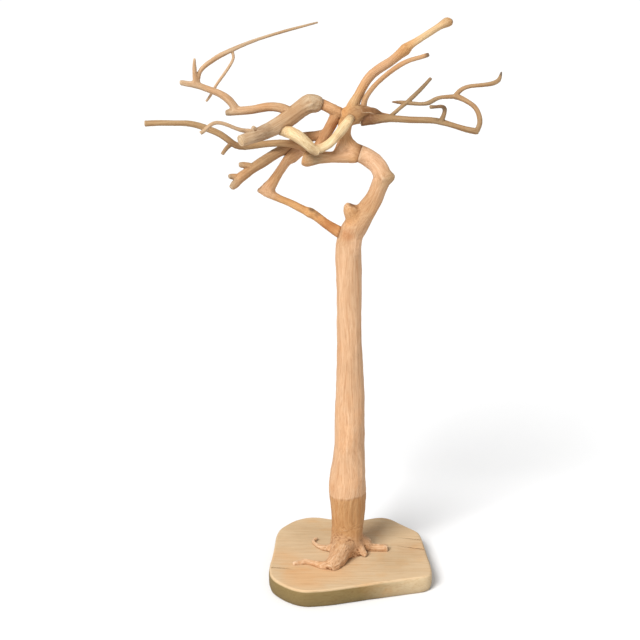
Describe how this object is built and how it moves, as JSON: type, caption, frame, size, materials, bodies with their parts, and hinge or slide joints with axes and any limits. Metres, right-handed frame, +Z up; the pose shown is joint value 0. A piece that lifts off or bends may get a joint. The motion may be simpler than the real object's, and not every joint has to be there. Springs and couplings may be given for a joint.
{
  "type": "bird perch tree",
  "caption": "Free-standing bare-wood bird tree: a natural stem on a live-edge slab, forking into a spreading crown of grafted perches.",
  "frame": {"origin": "floor level, under the middle of the stem where it stands on the slab", "axes": "+X right seen from the front, +Y to the back, +Z up along the stem"},
  "size_m": [0.9166, 0.452, 1.5338],
  "materials": {
    "base_slab": "sandblasted bare wood",
    "trunk": "sandblasted bare wood",
    "crown_stem": "sandblasted bare wood",
    "left_fork_limb": "sandblasted bare wood",
    "y_limb": "sandblasted bare wood",
    "grey_branch": "sandblasted bare wood",
    "front_branch": "sandblasted bare wood",
    "right_long_branch": "sandblasted bare wood",
    "grey_twig": "sandblasted bare wood",
    "left_long_branch": "sandblasted bare wood",
    "left_twig": "sandblasted bare wood",
    "lower_left_branch": "sandblasted bare wood",
    "dowel_wood": "turned beech dowel",
    "screw_steel": "zinc-plated steel",
    "filler": "sanded wood filler"
  },
  "bodies": {
    "root": {"base_slab": "base_slab", "trunk": "trunk", "crown_stem": "crown_stem", "left_fork_limb": "left_fork_limb", "y_limb": "y_limb", "grey_branch": "grey_branch", "front_branch": "front_branch", "right_long_branch": "right_long_branch", "grey_twig": "grey_twig", "left_long_branch": "left_long_branch", "left_twig": "left_twig", "lower_left_branch": "lower_left_branch", "fork_dowels": "dowel_wood", "limb_dowels": "dowel_wood", "twig_pins": "dowel_wood", "graft_screws": "screw_steel", "lag_bolt": "screw_steel", "bolt_washer": "screw_steel", "base_screws": "screw_steel", "filler_plugs": "filler"}
  },
  "joints": []
}
